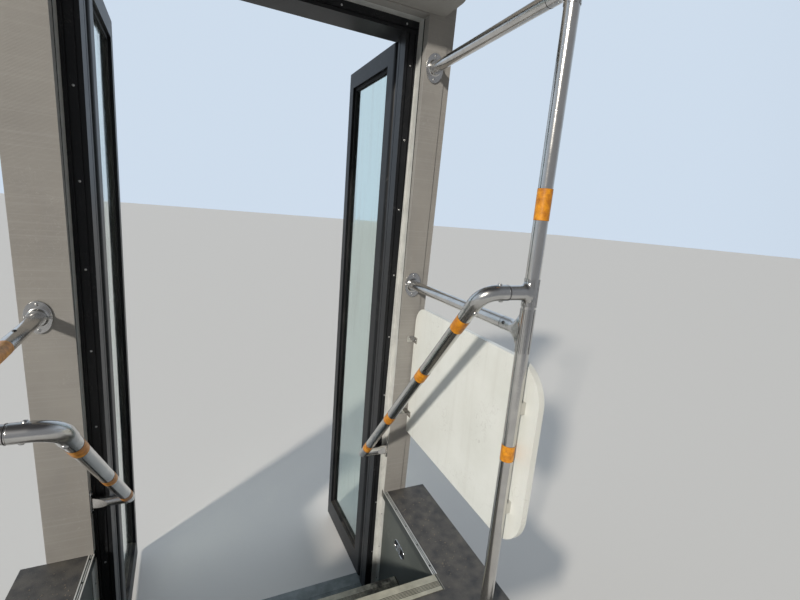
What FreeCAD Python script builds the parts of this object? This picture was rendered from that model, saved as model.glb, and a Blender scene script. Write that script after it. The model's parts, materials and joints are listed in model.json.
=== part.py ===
import FreeCAD, Part
import math
import os

V = FreeCAD.Vector
up = V(0, 0, 1)
rearward = V(1, 0, 0)
outboard = V(0, 1, 0)
os.makedirs("parts", exist_ok=True)

# Entrance section of a small bus: two swing leaves in their frame, a step well and its handrails.
# All is drawn from the middle of the doorway, on the floor's top and the door frame's inner face:
# +X runs to the rear of the bus, +Y out through the door, +Z up. The written parts are moved so
# that the origin is the middle of the four body-mount bolts, on the underside of the floor rails.

# How far a cutter runs past the faces that it cuts
past = 1.0

# Door frame
clear_width = 847.0
head_height = 1634.0
frame_face = 44.5
frame_depth = 100.0
head_face = 38.0
stop_depth = 59.0
frame_groove = 3.0
face_groove_inset = 10.0
stop_groove_inset = 15.0
jamb_flange = 7.5
sill_depth = 85.0
sill_thickness = 12.0
sill_groove = 1.5
sill_groove_pitch = 7.0
sill_groove_count = 4

# Wall
wall_step = 17.0
wall_lean = 0.0286
header_rise = 228.0
post_base = -480.0
wall_outer = 96.0
reveal_thickness = 3.0
band_width = 30.0
cover_reach = 200.0
cover_length = 1040.0
cover_corner = 30.0
cover_wall = 2.5
# trim_width: face of the trim on the post, seen from inside
wall_columns = ("name", "side", "post_width", "trim_width")
wall_rows = (
    ("front", -1, 110.0, 110.0),
    ("rear", 1, 89.0, 70.0),
)

# Steps: how far each nosing's front edge lies inboard of the door frame, and its height
sheet = 3.0
covering = 3.0
floor_nosing_y = -428.0
step_nosing_y = -185.0
riser_height = 232.0
nosing_width = 51.0
nosing_lip = 24.0
nosing_thickness = 3.0
nosing_rise = 1.8
nosing_front_band = 18.0
nosing_groove = 1.2
nosing_groove_pitch = 4.0
nosing_groove_count = 5
nosing_overrun = 10.0
nosing_end_slope = 7.0
edge_trim_leg = 25.0
edge_trim_top = 13.0
edge_trim_thickness = 2.0
edge_trim_groove = 0.8
edge_trim_gap = 1.0
lock_radius = 15.0
lock_rim = 3.0
lock_face = 4.0
lock_length = 20.0
lock_slot = 2.0
lock_y = -190.0
lock_z = -110.0

# Floor
floor_overhang = 25.0
floor_inboard = -780.0
board_thickness = 18.0
rail_size = 50.0
rail_wall = 3.0
rail_offset = 122.0
# distance of each cross sill inboard of the floor's edge over the steps
cross_inboard = (327.0, 42.0)
mount_y = -430.0
mount_spacing_y = 640.0
mount_hole_r = 6.5

# Leaves
leaf_thickness = 38.0
leaf_side_gap = 6.5
leaf_stop_gap = 5.0
meeting_gap = 3.0
leaf_bottom_gap = 12.0
leaf_top_gap = 10.0
hinge_stile = 44.0
nose_stile = 40.0
top_rail = 60.0
bottom_rail = 84.0
nose_length = 18.0
nose_base = 4.0
leaf_edge = 2.0
glass_thickness = 6.0
gasket_width = 12.0
gasket_bite = 7.0
gasket_thickness = 18.0
pivot_r = 8.0
pivot_depth = 9.0
pivot_fit = 0.05
pivot_end_gap = 1.0
# side: 1 to the rear, -1 to the front; open_angle: from closed, in degrees
leaf_columns = ("name", "side", "open_angle")
leaf_rows = (
    ("front", -1, 93.0),
    ("rear", 1, 87.0),
)

# Handrails
tube_r = 15.875
flattened_length = 40.0
flattened_width = 14.0
fit = 0.2
sleeve_wall = 1.5
branch_r = 16.4
elbow_r = 17.3
elbow_bend = 36.0
elbow_end = 60.0
flange_r = 33.0
flange_thickness = 4.0
oval_height = 86.0
oval_width = 60.0
hub_r = 20.5
hub_height = 15.0
foot_width = 22.0
foot_height = 76.0
foot_thickness = 4.0
foot_edge_gap = 1.0
overhead_drop = 109.0
# Castings on the stanchions: how far each branch reaches from the stanchion's middle
guard_reach = 75.0
guard_flare = 16.0
arm_reach = 68.0
overhead_reach = 64.0
overhead_sleeve = 70.0
# Places of each side's rails: the stanchion, its guard rail's end on the wall, and the slanted rail.
# post_out and wall_out are measured outwards from the door frame's side, slant_in inwards from it,
# post_in from the floor's edge over the steps.
rail_columns = (
    "name", "side", "post_out", "post_in", "wall_out", "guard_z", "guard_sleeve", "arm_z", "arm_sleeve",
    "slant_in", "low_y", "low_z",
)
rail_rows = (
    ("front", -1, 37.0, 119.0, 73.0, 740.0, 76.0, 676.0, 48.0, 94.0, -17.5, 172.0),
    ("rear", 1, 33.0, 203.0, 33.0, 832.0, 102.0, 920.0, 62.0, 94.0, -17.5, 190.0),
)

# Modesty panel
panel_thickness = 16.0
panel_gap = 9.0
panel_bottom = 272.0
panel_top = 755.0
panel_wall_y = -45.0
panel_past_post = 52.0
panel_corner = 100.0
panel_wall_corner = 60.0
clip_height = 30.0
clip_half_width = 11.0
clip_inset = 110.0
bracket_leg = 26.0
bracket_height = 22.0
bracket_thickness = 3.0
bracket_bottom_inset = 75.0
bracket_top_inset = 123.0

half_width = clear_width / 2
frame_x = half_width + frame_face
post_x0 = frame_x + reveal_thickness
head_top = head_height + head_face
wall_height = head_top + header_rise
rail_x = frame_x + rail_offset
floor_half_length = rail_x + rail_size / 2 + floor_overhang
tread_z = (-riser_height, -2 * riser_height)
board_top = -covering
board_bottom = board_top - board_thickness
mount_plane = board_bottom - rail_size
sill_top = tread_z[1]
sill_inner = frame_depth - sill_depth
pivot_x = post_x0 - jamb_flange - leaf_side_gap - leaf_thickness / 2
pivot_y = stop_depth + leaf_stop_gap + leaf_thickness / 2
leaf_reach = pivot_x - meeting_gap
leaf_z0 = sill_top + leaf_bottom_gap
leaf_z1 = head_height - leaf_top_gap
lean_angle = math.degrees(math.atan(wall_lean))


def wall_y(z):
    """Inboard face of the wall, which leans in towards the roof above the floor."""
    return -wall_step - wall_lean * max(z, 0.0)


def block(x, y, z):
    return Part.makeBox(x[1] - x[0], y[1] - y[0], z[1] - z[0], V(x[0], y[0], z[0]))


def prism(points, run):
    """Closed outline through the points, pushed along run."""
    return Part.Face(Part.makePolygon(list(points) + [points[0]])).extrude(run)


def side_prism(outline, x0, x1):
    """Outline of (y, z) points, pushed along X."""
    return prism([V(x0, y, z) for y, z in outline], V(x1 - x0, 0, 0))


def rod(start, end, radius):
    run = end - start
    return Part.makeCylinder(radius, run.Length, start, run)


def beyond(point, normal, size):
    """Block that fills the side of a plane the normal points to."""
    shape = Part.makeBox(size, size, size, V(-size / 2, -size / 2, 0))
    shape.Placement = FreeCAD.Placement(point, FreeCAD.Rotation(up, normal))
    return shape


def mirrored(shape, side):
    """The rear side is drawn; the front side is its mirror image."""
    if side > 0:
        return shape
    return shape.mirror(V(0, 0, 0), rearward)


def save(node, *solids):
    shape = solids[0] if len(solids) == 1 else Part.makeCompound(list(solids))
    moved = shape.copy()
    moved.translate(V(0, -mount_y, -mount_plane))
    moved.exportStep(f"parts/{node}.step")


def side_span(side, x0, x1):
    return (x0, x1) if side > 0 else (-x1, -x0)


def make_floor():
    outline = (
        (-floor_half_length, floor_inboard),
        (floor_half_length, floor_inboard),
        (floor_half_length, -wall_step),
        (frame_x + sheet, -wall_step),
        (frame_x + sheet, floor_nosing_y - sheet),
        (-frame_x - sheet, floor_nosing_y - sheet),
        (-frame_x - sheet, -wall_step),
        (-floor_half_length, -wall_step),
    )
    board = prism([V(x, y, board_bottom) for x, y in outline], V(0, 0, board_thickness))
    cover = prism([V(x, y, board_top) for x, y in outline], V(0, 0, covering))
    nosing_seat = block(
        (-frame_x - nosing_overrun, frame_x + nosing_overrun),
        (floor_nosing_y - nosing_width, floor_nosing_y + nosing_thickness),
        (board_top, 0),
    )
    save("floor_board", board)
    save("floor_covering", cover.cut(nosing_seat))


def make_sills():
    rails = []
    for side in (-1, 1):
        x = side * rail_x
        half = rail_size / 2
        y_span = (floor_inboard, -wall_step)
        outer = block((x - half, x + half), y_span, (mount_plane, board_bottom))
        inner = block(
            (x - half + rail_wall, x + half - rail_wall),
            (floor_inboard - past, -wall_step + past),
            (mount_plane + rail_wall, board_bottom - rail_wall),
        )
        rail = outer.cut(inner)
        for dy in (-mount_spacing_y / 2, mount_spacing_y / 2):
            at = V(x, mount_y + dy, mount_plane)
            rail = rail.cut(rod(at - up * past, at + up * (rail_wall + past), mount_hole_r))
        rails.append(rail)
    save("floor_rails", *rails)
    cross = []
    reach = rail_x - rail_size / 2
    half = rail_size / 2
    for inboard in cross_inboard:
        y = floor_nosing_y - inboard
        outer = block((-reach, reach), (y - half, y + half), (mount_plane, board_bottom))
        inner = block(
            (-reach - past, reach + past),
            (y - half + rail_wall, y + half - rail_wall),
            (mount_plane + rail_wall, board_bottom - rail_wall),
        )
        cross.append(outer.cut(inner))
    save("floor_cross_sills", *cross)


def make_well():
    # front faces and tops of the bent pan, from the floor's edge out to the door sill
    top = (
        (floor_nosing_y, board_top),
        (floor_nosing_y, tread_z[0] - covering),
        (step_nosing_y, tread_z[0] - covering),
        (step_nosing_y, tread_z[1] - covering),
        (sill_inner, tread_z[1] - covering),
    )
    below = [(y - sheet, z - sheet) for y, z in top]
    below[0] = (top[0][0] - sheet, top[0][1])
    below[-1] = (top[-1][0], top[-1][1] - sheet)
    save("step_pan", side_prism(list(top) + below[::-1], -frame_x, frame_x))
    edge = [below[0], (-wall_step, board_top), (-wall_step, below[-1][1])] + below[-2:0:-1]
    lock_at = V(frame_x, lock_y, lock_z)
    barrel_r = lock_radius - lock_rim
    lock_hole = rod(lock_at - rearward * past, lock_at + rearward * (sheet + past), barrel_r + fit)
    for name, side in (("front", -1), ("rear", 1)):
        x0, x1 = side_span(side, frame_x, frame_x + sheet)
        panel = side_prism(edge, x0, x1)
        if side > 0:
            panel = panel.cut(lock_hole)
        save(f"well_side_{name}", panel)
    face = rod(lock_at - rearward * lock_face, lock_at, lock_radius)
    barrel = rod(lock_at, lock_at + rearward * lock_length, barrel_r)
    slot = block(
        (frame_x - lock_face - past, frame_x - lock_face / 2),
        (lock_y - lock_slot / 2, lock_y + lock_slot / 2),
        (lock_z - lock_radius / 2, lock_z + lock_radius / 2),
    )
    save("well_lock", face.fuse(barrel).cut(slot))
    upper = block(
        (-frame_x, frame_x),
        (floor_nosing_y, step_nosing_y - nosing_width),
        (tread_z[0] - covering, tread_z[0]),
    )
    lower = block((-frame_x, frame_x), (step_nosing_y, sill_inner), (tread_z[1] - covering, tread_z[1]))
    save("tread_covers", upper, lower)


def nosing(y, z, reach):
    """Grooved strip over a step's edge, with a lip down the riser, up to the sides of the well."""
    top = z + nosing_rise
    back = y - nosing_width
    points = [(back, z - nosing_thickness), (back, top)]
    first = y - nosing_front_band - nosing_groove_count * nosing_groove_pitch
    for i in range(nosing_groove_count):
        start = first + i * nosing_groove_pitch
        end = start + nosing_groove_pitch / 2
        points += [(start, top), (start, top - nosing_groove), (end, top - nosing_groove), (end, top)]
    points += [(y + nosing_thickness, top), (y + nosing_thickness, z - nosing_thickness)]
    strip = side_prism(points, -reach, reach)
    inner = frame_x - fit
    lip = block((-inner, inner), (y, y + nosing_thickness), (z - nosing_lip, z - nosing_thickness))
    for side in (-1, 1):
        wedge = (
            V(reach - nosing_end_slope, back - past, top),
            V(reach + past, back - past, top),
            V(reach + past, back - past, z),
            V(reach, back - past, z),
        )
        run = V(0, nosing_width + nosing_thickness + 2 * past, 0)
        strip = strip.cut(mirrored(prism(wedge, run), side))
    return strip.fuse(lip).removeSplitter()


def make_nosings():
    floor_strip = nosing(floor_nosing_y, 0, frame_x + nosing_overrun - fit)
    step_strip = nosing(step_nosing_y, tread_z[0], frame_x - fit)
    save("step_nosings", floor_strip, step_strip)
    trims = []
    leg, thick, groove = edge_trim_leg, edge_trim_thickness, edge_trim_groove
    middle = frame_x + edge_trim_top / 2
    outline = (
        (frame_x - thick, thick),
        (middle - groove, thick),
        (middle - groove, thick - groove),
        (middle + groove, thick - groove),
        (middle + groove, thick),
        (frame_x + edge_trim_top, thick),
        (frame_x + edge_trim_top, 0),
        (frame_x, 0),
        (frame_x, -leg),
        (frame_x - thick, -leg),
    )
    start = floor_nosing_y + nosing_thickness + edge_trim_gap
    for side in (-1, 1):
        trim = prism([V(x, start, z) for x, z in outline], V(0, -wall_step - edge_trim_gap - start, 0))
        trims.append(mirrored(trim, side))
    save("well_edge_trims", *trims)


def make_jambs():
    flange_x = post_x0 - jamb_flange
    g = frame_groove
    low = half_width + face_groove_inset
    high = frame_x - face_groove_inset
    stop_groove = stop_depth - stop_groove_inset
    outline = (
        (half_width, 0),
        (low, 0),
        (low, g),
        (low + g, g),
        (low + g, 0),
        (high - g, 0),
        (high - g, g),
        (high, g),
        (high, 0),
        (post_x0, 0),
        (post_x0, frame_depth),
        (flange_x, frame_depth),
        (flange_x, stop_depth),
        (half_width, stop_depth),
        (half_width, stop_groove),
        (half_width + g, stop_groove),
        (half_width + g, stop_groove - g),
        (half_width, stop_groove - g),
    )
    run = V(0, 0, head_height - sill_top)
    jamb = prism([V(x, y, sill_top) for x, y in outline], run)
    for name, side in (("front", -1), ("rear", 1)):
        save(f"jamb_{name}", mirrored(jamb, side))
    z = head_height + face_groove_inset
    head_outline = (
        (0, head_height),
        (0, z),
        (g, z),
        (g, z + g),
        (0, z + g),
        (0, head_top),
        (frame_depth, head_top),
        (frame_depth, head_height),
    )
    head = side_prism(head_outline, -post_x0, post_x0)
    sill_outline = [(frame_depth, sill_top - sill_thickness), (sill_inner, sill_top - sill_thickness)]
    sill_outline.append((sill_inner, sill_top))
    for i in range(1, sill_groove_count + 1):
        y = sill_inner + i * sill_groove_pitch
        floor_z = sill_top - sill_groove
        sill_outline += [(y, sill_top), (y, floor_z), (y + sill_groove, floor_z), (y + sill_groove, sill_top)]
    sill_outline.append((frame_depth, sill_top))
    sill = side_prism(sill_outline, -post_x0, post_x0)
    for side in (-1, 1):
        x = side * pivot_x
        bore = pivot_r + pivot_fit
        above = V(x, pivot_y, head_height)
        below = V(x, pivot_y, sill_top)
        head = head.cut(rod(above - up * past, above + up * (pivot_depth + pivot_end_gap), bore))
        sill = sill.cut(rod(below + up * past, below - up * (pivot_depth + pivot_end_gap), bore))
    save("door_head", head)
    save("door_sill", sill)


def wall_outline(z0, z1):
    """(y, z) outline of the wall's thickness between two heights."""
    points = [(wall_outer, z0), (wall_outer, z1), (wall_y(z1), z1)]
    if z0 < 0:
        points.append((wall_y(0), 0))
    points.append((wall_y(z0), z0))
    return points


def make_wall():
    z0 = edge_trim_thickness
    face = {z: wall_y(z) - reveal_thickness for z in (z0, head_top)}
    band_top = head_top - reveal_thickness
    clear_z = (band_width - wall_step - reveal_thickness) / wall_lean
    band_outline = ((0, z0), (0, band_top), (-band_width, band_top), (-band_width, clear_z), (face[z0], z0))
    strip = ((-band_width, clear_z), (-band_width, head_top), (face[head_top], head_top))
    lip_outline = ((wall_y(z0), z0), (wall_y(head_top), head_top), (face[head_top], head_top), (face[z0], z0))
    bands = []
    for row in wall_rows:
        wall = dict(zip(wall_columns, row))
        post = side_prism(wall_outline(post_base, wall_height), post_x0, post_x0 + wall["post_width"])
        lip = side_prism(lip_outline, frame_x, frame_x + wall["trim_width"])
        lip = lip.fuse(side_prism(strip, frame_x, post_x0)).removeSplitter()
        band = side_prism(band_outline, frame_x, post_x0).cut(lip)
        bands.append(mirrored(band, wall["side"]))
        save(f"door_post_{wall['name']}", mirrored(post, wall["side"]))
        save(f"post_trim_{wall['name']}", mirrored(lip, wall["side"]))
    bands.append(block((-post_x0, post_x0), (-band_width, 0), (band_top, head_top)))
    save("reveal_bands", *bands)
    save("head_trim", block((-frame_x, frame_x), (face[head_top], -band_width), (band_top, head_top)))
    save("header_beam", side_prism(wall_outline(head_top, wall_height), -post_x0, post_x0))


def cover_outline(inset):
    """Profile of the cover over the door, open to the wall, with a round lower front edge."""
    z0 = head_top + inset
    z1 = wall_height - inset
    y1 = -cover_reach + inset
    r = cover_corner - inset
    back = past if inset else 0
    c = r * (1 - math.sqrt(0.5))
    corner = Part.Arc(V(0, y1, z0 + r), V(0, y1 + c, z0 + c), V(0, y1 + r, z0)).toShape()
    points = [V(0, y1 + r, z0), V(0, wall_y(z0) + back, z0), V(0, wall_y(z1) + back, z1), V(0, y1, z1)]
    lines = [Part.makeLine(a, b) for a, b in zip(points, points[1:])]
    lines.append(Part.makeLine(points[-1], V(0, y1, z0 + r)))
    return Part.Face(Part.Wire(Part.sortEdges(lines + [corner])[0]))


def make_cover():
    half = cover_length / 2
    outer = cover_outline(0).extrude(V(cover_length, 0, 0))
    inner = cover_outline(cover_wall).extrude(V(cover_length - 2 * cover_wall, 0, 0))
    outer.translate(V(-half, 0, 0))
    inner.translate(V(-half + cover_wall, 0, 0))
    save("header_cover", outer.cut(inner))


def leaf_plan(u0, u1, v, z):
    """Plan of a leaf: half round about the pivot, bevelled at the nose."""
    e = leaf_edge
    arc = Part.Arc(V(u0, v, z), V(u0 - v, 0, z), V(u0, -v, z)).toShape()
    corners = [
        V(u0, -v, z),
        V(u1 - e, -v, z),
        V(u1, e - v, z),
        V(u1, v - e, z),
        V(u1 - e, v, z),
        V(u0, v, z),
    ]
    lines = [Part.makeLine(a, b) for a, b in zip(corners, corners[1:])]
    return Part.Face(Part.Wire([arc] + lines))


def leaf_parts():
    """Pieces of a closed leaf, drawn from its pivot towards its nose along +X."""
    half = leaf_thickness / 2
    stile_end = leaf_reach - nose_length
    glass_u = (hinge_stile, stile_end - nose_stile)
    glass_z = (leaf_z0 + bottom_rail, leaf_z1 - top_rail)
    frame = leaf_plan(0, stile_end, half, leaf_z0).extrude(V(0, 0, leaf_z1 - leaf_z0))
    window = block(glass_u, (-half - past, half + past), glass_z)
    frame = frame.cut(window)
    bite = gasket_width - gasket_bite
    glass = block(
        (glass_u[0] + bite, glass_u[1] - bite),
        (-glass_thickness / 2, glass_thickness / 2),
        (glass_z[0] + bite, glass_z[1] - bite),
    )
    ring = block(glass_u, (-gasket_thickness / 2, gasket_thickness / 2), glass_z)
    sight = block(
        (glass_u[0] + gasket_width, glass_u[1] - gasket_width),
        (-gasket_thickness, gasket_thickness),
        (glass_z[0] + gasket_width, glass_z[1] - gasket_width),
    )
    gasket = ring.cut(sight).cut(glass)
    bulb_r = nose_length - nose_base
    base = block((stile_end, stile_end + nose_base), (leaf_edge - half, half - leaf_edge), (leaf_z0, leaf_z1))
    arc = Part.Arc(V(0, -bulb_r, 0), V(bulb_r, 0, 0), V(0, bulb_r, 0)).toShape()
    chord = Part.makeLine(V(0, bulb_r, 0), V(0, -bulb_r, 0))
    bulb = Part.Face(Part.Wire([arc, chord])).extrude(V(0, 0, leaf_z1 - leaf_z0))
    bulb.translate(V(stile_end + nose_base, 0, leaf_z0))
    nose = base.fuse(bulb).removeSplitter()
    low = Part.makeCylinder(pivot_r, leaf_bottom_gap + pivot_depth, V(0, 0, sill_top - pivot_depth))
    high = Part.makeCylinder(pivot_r, leaf_top_gap + pivot_depth, V(0, 0, leaf_z1))
    return {"frame": frame, "glass": glass, "gasket": gasket, "nose": nose, "pivots": (low, high)}


def make_leaves():
    for row in leaf_rows:
        leaf = dict(zip(leaf_columns, row))
        side = leaf["side"]
        for piece, shape in leaf_parts().items():
            solids = shape if isinstance(shape, tuple) else (shape,)
            placed = []
            for solid in solids:
                turned = mirrored(solid, -side)
                turned.rotate(V(0, 0, 0), up, -side * leaf["open_angle"])
                turned.translate(V(side * pivot_x, pivot_y, 0))
                placed.append(turned)
            save(f"leaf_{leaf['name']}_{piece}", *placed)


def flange(centre, axis):
    """Round foot with a raised hub that a stanchion ends on; axis points along the tube."""
    plate = rod(centre, centre + axis * flange_thickness, flange_r)
    return plate.fuse(rod(centre, centre + axis * hub_height, hub_r))


def wall_flange(seat):
    """Oval plate on the leaning wall, with a raised hub that a rail ends on."""
    top = seat + up * (oval_height / 2)
    side = seat + rearward * (oval_width / 2)
    oval = Part.Face(Part.Wire(Part.Ellipse(top, side, seat).toShape()))
    plate = oval.extrude(-outboard * flange_thickness)
    shape = plate.fuse(rod(seat, seat - outboard * hub_height, hub_r))
    shape.rotate(seat, rearward, lean_angle)
    return shape


def tee(centre, branch, length, reach, root=0):
    """Casting round a stanchion, with a branch that carries on as the next tube and may be flared."""
    outer = tube_r + fit + sleeve_wall
    run = up * length
    body = rod(centre - run / 2, centre + run / 2, outer)
    body = body.fuse(rod(centre, centre + branch * reach, branch_r))
    if root:
        rise = outer + root
        flare = Part.makeCone(branch_r + rise, branch_r, rise, centre, branch)
        across = branch.cross(up)
        for way, half in ((across, branch_r - fit), (up, length / 2)):
            flare = flare.common(beyond(centre - way * half, way, 4 * rise))
            flare = flare.common(beyond(centre + way * half, -way, 4 * rise))
        body = body.fuse(flare)
    return body.cut(rod(centre - run, centre + run, tube_r + fit))


def make_post_rails(rail):
    side = rail["side"]
    name = rail["name"]
    x = side * (frame_x + rail["post_out"])
    post_y = floor_nosing_y - rail["post_in"]
    foot = flange(V(x, post_y, 0), up)
    cap = flange(V(x, post_y, wall_height), -up)
    save(f"stanchion_{name}", rod(V(x, post_y, hub_height), V(x, post_y, wall_height - hub_height), tube_r))
    save(f"stanchion_flanges_{name}", foot, cap)
    inboard = V(0, -math.cos(math.radians(lean_angle)), -math.sin(math.radians(lean_angle)))
    heights = [("guard", rail["guard_z"], rail["wall_out"], rail["guard_sleeve"], guard_reach, guard_flare)]
    if side > 0:
        z = head_height - overhead_drop
        heights.append(("overhead", z, rail["post_out"], overhead_sleeve, overhead_reach, 0))
    for kind, z, wall_out, length, reach, root in heights:
        joint = V(x, post_y, z)
        seat = V(side * (frame_x + wall_out), wall_y(z) - reveal_thickness, z)
        way = (seat - joint).normalize()
        bar = rod(joint + way * reach, seat, tube_r)
        save(f"{kind}_rail_{name}", bar.cut(beyond(seat + inboard * hub_height, -inboard, 4 * hub_height)))
        save(f"{kind}_fittings_{name}", tee(joint, way, length, reach, root), wall_flange(seat))


def make_grab_rail(rail):
    """Slanted rail: a casting off the stanchion, an elbow, the run down, and a standoff to the reveal."""
    side = rail["side"]
    post = V(frame_x + rail["post_out"], floor_nosing_y - rail["post_in"], rail["arm_z"])
    slant_x = frame_x - rail["slant_in"]
    corner = V(slant_x, post.y, post.z)
    low = V(slant_x, rail["low_y"], rail["low_z"])
    down = (low - corner).normalize()
    start = post - rearward * arm_reach
    bend = corner + rearward * elbow_bend
    ring = Part.Face(Part.Wire(Part.makeCircle(elbow_r, bend, rearward)))
    elbow = ring.revolve(bend + down * elbow_bend, down.cross(rearward), 90)
    end = corner + down * elbow_end
    elbow = elbow.fuse(rod(start, bend, elbow_r)).fuse(rod(corner + down * elbow_bend, end, elbow_r))
    foot_x = frame_x - foot_thickness
    tip = V(foot_x, low.y, low.z)
    across = (down + rearward).normalize()
    size = 4 * (tip - low).Length
    run = rod(end, low + down * (2 * tube_r), tube_r).cut(beyond(low, across, size))
    standoff = rod(low - rearward * (2 * tube_r), tip, tube_r).common(beyond(low, across, size))
    foot_y = -foot_width / 2 - foot_edge_gap
    for lean in (-1, 1):
        start_y = low.y + lean * tube_r
        end_y = foot_y + lean * flattened_width / 2
        wedge = (
            V(tip.x - flattened_length, start_y, 0),
            V(tip.x + past, end_y, 0),
            V(tip.x + past, end_y + lean * tube_r, 0),
            V(tip.x - flattened_length, start_y + lean * tube_r, 0),
        )
        cutter = prism(wedge, up * (4 * tube_r))
        cutter.translate(up * (low.z - 2 * tube_r))
        standoff = standoff.cut(cutter)
    save(f"grab_rail_{rail['name']}", mirrored(run.fuse(standoff), side))
    half = foot_width / 2
    straight = foot_height / 2 - half
    foot = block((foot_x, frame_x), (foot_y - half, foot_y + half), (low.z - straight, low.z + straight))
    for shift in (-straight, straight):
        z = low.z + shift
        foot = foot.fuse(rod(V(foot_x, foot_y, z), V(frame_x, foot_y, z), half))
    pieces = (tee(post, -rearward, rail["arm_sleeve"], arm_reach), elbow, foot.removeSplitter())
    save(f"grab_fittings_{rail['name']}", *[mirrored(piece, side) for piece in pieces])


def make_panel():
    rail = dict(zip(rail_columns, rail_rows[1]))
    x0 = frame_x + rail["post_out"] + tube_r + panel_gap
    y0 = floor_nosing_y - rail["post_in"] - panel_past_post
    y1 = panel_wall_y
    z0, z1 = panel_bottom, panel_top
    board = block((x0, x0 + panel_thickness), (y0, y1), (z0, z1))

    def corner(shape, y, z):
        places = [(edge, edge.CenterOfMass) for edge in shape.Edges]
        return [edge for edge, at in places if abs(at.y - y) < 1e-6 and abs(at.z - z) < 1e-6]

    board = board.makeFillet(panel_corner, corner(board, y0, z0) + corner(board, y0, z1))
    save("modesty_panel", board.makeFillet(panel_wall_corner, corner(board, y1, z1)))
    post = V(x0 - panel_gap - tube_r, y0 + panel_past_post, 0)
    clips = []
    brackets = []
    for z in (z0 + clip_inset, z1 - clip_inset):
        low, high = z - clip_height / 2, z + clip_height / 2
        saddle = block((post.x, x0), (post.y - clip_half_width, post.y + clip_half_width), (low, high))
        seat = rod(post + up * (low - past), post + up * (high + past), tube_r + fit)
        clips.append(saddle.cut(seat))
    t = bracket_thickness
    for z in (z0 + bracket_bottom_inset, z1 - bracket_top_inset):
        low, high = z - bracket_height / 2, z + bracket_height / 2
        seat = [(wall_y(h) - reveal_thickness, h) for h in (low, high)]
        on_wall = side_prism(seat + [(y - t, h) for y, h in seat[::-1]], x0 - bracket_leg, x0)
        on_panel = side_prism(seat + [(y1 - bracket_leg, high), (y1 - bracket_leg, low)], x0 - t, x0)
        brackets.append(on_wall.fuse(on_panel).removeSplitter())
    save("panel_clips", *clips)
    save("panel_brackets", *brackets)


make_floor()
make_sills()
make_well()
make_nosings()
make_jambs()
make_wall()
make_cover()
make_leaves()
for rail_row in rail_rows:
    rail_set = dict(zip(rail_columns, rail_row))
    make_post_rails(rail_set)
    make_grab_rail(rail_set)
make_panel()
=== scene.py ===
import json
import math
import random

import bpy
import numpy as np
from mathutils import Matrix, Vector


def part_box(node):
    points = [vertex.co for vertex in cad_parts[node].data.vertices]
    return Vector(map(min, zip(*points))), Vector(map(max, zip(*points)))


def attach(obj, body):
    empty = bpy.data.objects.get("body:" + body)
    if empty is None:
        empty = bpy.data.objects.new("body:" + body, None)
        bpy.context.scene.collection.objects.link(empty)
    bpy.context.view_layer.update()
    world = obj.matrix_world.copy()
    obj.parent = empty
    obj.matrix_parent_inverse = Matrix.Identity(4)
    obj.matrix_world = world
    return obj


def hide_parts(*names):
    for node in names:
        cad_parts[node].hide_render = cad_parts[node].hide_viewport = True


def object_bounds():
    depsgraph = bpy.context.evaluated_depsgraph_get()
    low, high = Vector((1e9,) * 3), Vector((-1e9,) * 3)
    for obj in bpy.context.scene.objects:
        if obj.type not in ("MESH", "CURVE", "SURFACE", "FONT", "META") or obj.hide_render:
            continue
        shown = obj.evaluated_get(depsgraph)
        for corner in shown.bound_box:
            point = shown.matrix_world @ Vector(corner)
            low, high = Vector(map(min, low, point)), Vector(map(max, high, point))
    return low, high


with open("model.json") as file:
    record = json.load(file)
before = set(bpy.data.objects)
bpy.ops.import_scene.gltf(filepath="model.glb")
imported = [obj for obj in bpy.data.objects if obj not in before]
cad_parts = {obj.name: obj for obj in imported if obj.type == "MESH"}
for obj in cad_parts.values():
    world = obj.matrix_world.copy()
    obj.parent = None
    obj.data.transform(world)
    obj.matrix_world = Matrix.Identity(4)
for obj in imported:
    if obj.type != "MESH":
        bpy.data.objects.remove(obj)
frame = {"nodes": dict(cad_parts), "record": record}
nodes = frame["nodes"]
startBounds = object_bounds()
chance = random.Random(7)
mm = 0.001
print("frame loaded")

# Ways, measures and places that the pieces share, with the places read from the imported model
up = Vector((0, 0, 1))
rearward = Vector((1, 0, 0))
inboard = Vector((0, -1, 0))
tube = {"radius": 15.875 * mm}
riser = 232 * mm
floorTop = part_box("floor_covering")[1].z
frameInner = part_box("jamb_rear")[0].y
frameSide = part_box("well_side_rear")[0].x
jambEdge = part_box("jamb_rear")[0].x

# The wall's inner face leans into the bus by this share of its height
wallLean = 0.0286
lean = Vector((0, -1, -wallLean)).normalized()


# Small helpers for node trees. A socket given as an input is linked, anything else is its value
def place(tree, kind, inputs=(), **settings):
    node = tree.nodes.new(kind)
    for key, value in settings.items():
        setattr(node, key, value)
    for key, value in dict(inputs).items():
        if isinstance(value, bpy.types.NodeSocket):
            tree.links.new(value, node.inputs[key])
        else:
            node.inputs[key].default_value = value
    return node


# An effect takes the position and its own values, and puts out one mask or normal
def newEffect(name, values, output="Mask"):
    tree = bpy.data.node_groups.new(name, "ShaderNodeTree")
    for label, value in {"Position": (0, 0, 0), **values}.items():
        kind = "NodeSocketVector" if isinstance(value, tuple) else "NodeSocketFloat"
        tree.interface.new_socket(label, in_out="INPUT", socket_type=kind).default_value = value
    kind = "NodeSocketVector" if output == "Normal" else "NodeSocketFloat"
    tree.interface.new_socket(output, in_out="OUTPUT", socket_type=kind)
    given = tree.nodes.new("NodeGroupInput").outputs
    return tree, given, tree.nodes.new("NodeGroupOutput").inputs[output]


def useEffect(tree, effect, position, values):
    inputs = {"Position": position, **values}
    return place(tree, "ShaderNodeGroup", inputs, node_tree=effect).outputs[0]


def maths(tree, operation, first, second=0.0):
    return place(tree, "ShaderNodeMath", {0: first, 1: second}, operation=operation).outputs[0]


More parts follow.
